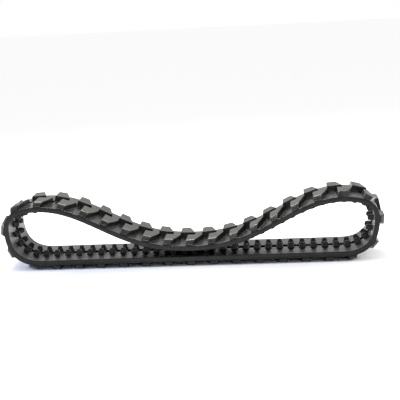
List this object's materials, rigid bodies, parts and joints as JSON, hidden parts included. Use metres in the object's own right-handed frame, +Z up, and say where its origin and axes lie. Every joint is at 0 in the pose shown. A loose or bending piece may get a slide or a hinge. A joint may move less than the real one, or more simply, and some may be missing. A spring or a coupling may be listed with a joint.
{
  "type": "rubber track",
  "caption": "Endless rubber crawler track with staggered tread lugs outside and paired guide horns inside, lying with its slack top run sagging.",
  "frame": {"origin": "on the ground under the middle of the loop's whole length, in the middle of its width", "axes": "+X along the ground run, +Y across the track, +Z up"},
  "size_m": [1.7716, 0.3, 0.3255],
  "materials": {
    "rubber": "moulded black rubber, semi-gloss with dust",
    "steel": "forged steel cores and steel cord, unpainted"
  },
  "bodies": {
    "ground_run": {"ground_1_rubber": "rubber", "ground_1_steel_cores": "steel", "ground_2_rubber": "rubber", "ground_2_steel_cores": "steel", "ground_3_rubber": "rubber", "ground_3_steel_cores": "steel", "ground_4_rubber": "rubber", "ground_4_steel_cores": "steel", "ground_5_rubber": "rubber", "ground_5_steel_cores": "steel", "ground_6_rubber": "rubber", "ground_6_steel_cores": "steel"},
    "left_1": {"left_1_rubber": "rubber", "left_1_steel_cores": "steel"},
    "left_2": {"left_2_rubber": "rubber", "left_2_steel_cores": "steel"},
    "left_3": {"left_3_rubber": "rubber", "left_3_steel_cores": "steel"},
    "left_4": {"left_4_rubber": "rubber", "left_4_steel_cores": "steel"},
    "left_5": {"left_5_rubber": "rubber", "left_5_steel_cores": "steel"},
    "left_6": {"left_6_rubber": "rubber", "left_6_steel_cores": "steel"},
    "left_7": {"left_7_rubber": "rubber", "left_7_steel_cores": "steel"},
    "left_8": {"left_8_rubber": "rubber", "left_8_steel_cores": "steel"},
    "left_9": {"left_9_rubber": "rubber", "left_9_steel_cores": "steel"},
    "right_1": {"right_1_rubber": "rubber", "right_1_steel_cores": "steel"},
    "right_2": {"right_2_rubber": "rubber", "right_2_steel_cores": "steel"},
    "right_3": {"right_3_rubber": "rubber", "right_3_steel_cores": "steel"},
    "right_4": {"right_4_rubber": "rubber", "right_4_steel_cores": "steel"},
    "right_5": {"right_5_rubber": "rubber", "right_5_steel_cores": "steel"},
    "right_6": {"right_6_rubber": "rubber", "right_6_steel_cores": "steel"},
    "right_7": {"right_7_rubber": "rubber", "right_7_steel_cores": "steel"},
    "right_8": {"right_8_rubber": "rubber", "right_8_steel_cores": "steel"},
    "right_9": {"right_9_rubber": "rubber", "right_9_steel_cores": "steel"}
  },
  "joints": [
    {"name": "left_flex_1", "type": "hinge", "parent": "ground_run", "child": "left_1", "pos_m": [-0.66915, 0, 0.036], "axis": [0, -1, 0], "range_deg": [0, 0.47]},
    {"name": "left_flex_2", "type": "hinge", "parent": "left_1", "child": "left_2", "pos_m": [-0.77235, 0, 0.05005], "axis": [0, -1, 0], "range_deg": [0, 2.35]},
    {"name": "left_flex_3", "type": "hinge", "parent": "left_2", "child": "left_3", "pos_m": [-0.8399, 0, 0.12596], "axis": [0, -1, 0], "range_deg": [0, 2.87]},
    {"name": "left_flex_4", "type": "hinge", "parent": "left_3", "child": "left_4", "pos_m": [-0.84562, 0, 0.22953], "axis": [0, -1, 0], "range_deg": [0, 2.78]},
    {"name": "left_flex_5", "type": "hinge", "parent": "left_4", "child": "left_5", "pos_m": [-0.76236, 0, 0.28422], "axis": [0, -1, 0], "range_deg": [0, 1.93]},
    {"name": "left_flex_6", "type": "hinge", "parent": "left_5", "child": "left_6", "pos_m": [-0.65778, 0, 0.28716], "axis": [0, -1, 0], "range_deg": [0, 0.915]},
    {"name": "left_flex_7", "type": "hinge", "parent": "left_6", "child": "left_7", "pos_m": [-0.55583, 0, 0.26298], "axis": [0, -1, 0], "range_deg": [-0.104, 0]},
    {"name": "left_flex_8", "type": "hinge", "parent": "left_7", "child": "left_8", "pos_m": [-0.36579, 0, 0.17397], "axis": [0, -1, 0], "range_deg": [-3.78, 0]},
    {"name": "left_flex_9", "type": "hinge", "parent": "left_8", "child": "left_9", "pos_m": [-0.16936, 0, 0.10145], "axis": [0, -1, 0], "range_deg": [-7.44, 0]},
    {"name": "right_flex_1", "type": "hinge", "parent": "ground_run", "child": "right_1", "pos_m": [0.59085, 0, 0.036], "axis": [0, 1, 0], "range_deg": [-0.157, 0]},
    {"name": "right_flex_2", "type": "hinge", "parent": "right_1", "child": "right_2", "pos_m": [0.69585, 0, 0.03618], "axis": [0, 1, 0], "range_deg": [0, 0.901]},
    {"name": "right_flex_3", "type": "hinge", "parent": "right_2", "child": "right_3", "pos_m": [0.7956, 0, 0.06296], "axis": [0, 1, 0], "range_deg": [0, 2.25]},
    {"name": "right_flex_4", "type": "hinge", "parent": "right_3", "child": "right_4", "pos_m": [0.84654, 0, 0.15145], "axis": [0, 1, 0], "range_deg": [0, 3.12]},
    {"name": "right_flex_5", "type": "hinge", "parent": "right_4", "child": "right_5", "pos_m": [0.83328, 0, 0.25224], "axis": [0, 1, 0], "range_deg": [0, 3.28]},
    {"name": "right_flex_6", "type": "hinge", "parent": "right_5", "child": "right_6", "pos_m": [0.73682, 0, 0.28788], "axis": [0, 1, 0], "range_deg": [0, 2.21]},
    {"name": "right_flex_7", "type": "hinge", "parent": "right_6", "child": "right_7", "pos_m": [0.63226, 0, 0.28335], "axis": [0, 1, 0], "range_deg": [0, 1.28]},
    {"name": "right_flex_8", "type": "hinge", "parent": "right_7", "child": "right_8", "pos_m": [0.43655, 0, 0.20944], "axis": [0, 1, 0], "range_deg": [-3.71, 0]},
    {"name": "right_flex_9", "type": "hinge", "parent": "right_8", "child": "right_9", "pos_m": [0.24568, 0, 0.12231], "axis": [0, 1, 0], "range_deg": [-9.16, 0]}
  ],
  "couplings": [
    {"joint": "left_flex_1", "follows": "left_flex_4", "ratio": 0.168},
    {"joint": "left_flex_2", "follows": "left_flex_4", "ratio": 0.8448},
    {"joint": "left_flex_3", "follows": "left_flex_4", "ratio": 1.0286},
    {"joint": "left_flex_5", "follows": "left_flex_4", "ratio": 0.6936},
    {"joint": "left_flex_6", "follows": "left_flex_4", "ratio": 0.3277},
    {"joint": "left_flex_7", "follows": "left_flex_4", "ratio": -0.0365},
    {"joint": "left_flex_8", "follows": "left_flex_4", "ratio": -1.3559},
    {"joint": "left_flex_9", "follows": "left_flex_4", "ratio": -2.6702},
    {"joint": "right_flex_1", "follows": "left_flex_4", "ratio": -0.0557},
    {"joint": "right_flex_2", "follows": "left_flex_4", "ratio": 0.3229},
    {"joint": "right_flex_3", "follows": "left_flex_4", "ratio": 0.8064},
    {"joint": "right_flex_4", "follows": "left_flex_4", "ratio": 1.1209},
    {"joint": "right_flex_5", "follows": "left_flex_4", "ratio": 1.1754},
    {"joint": "right_flex_6", "follows": "left_flex_4", "ratio": 0.7916},
    {"joint": "right_flex_7", "follows": "left_flex_4", "ratio": 0.4576},
    {"joint": "right_flex_8", "follows": "left_flex_4", "ratio": -1.3298},
    {"joint": "right_flex_9", "follows": "left_flex_4", "ratio": -3.2892}
  ]
}
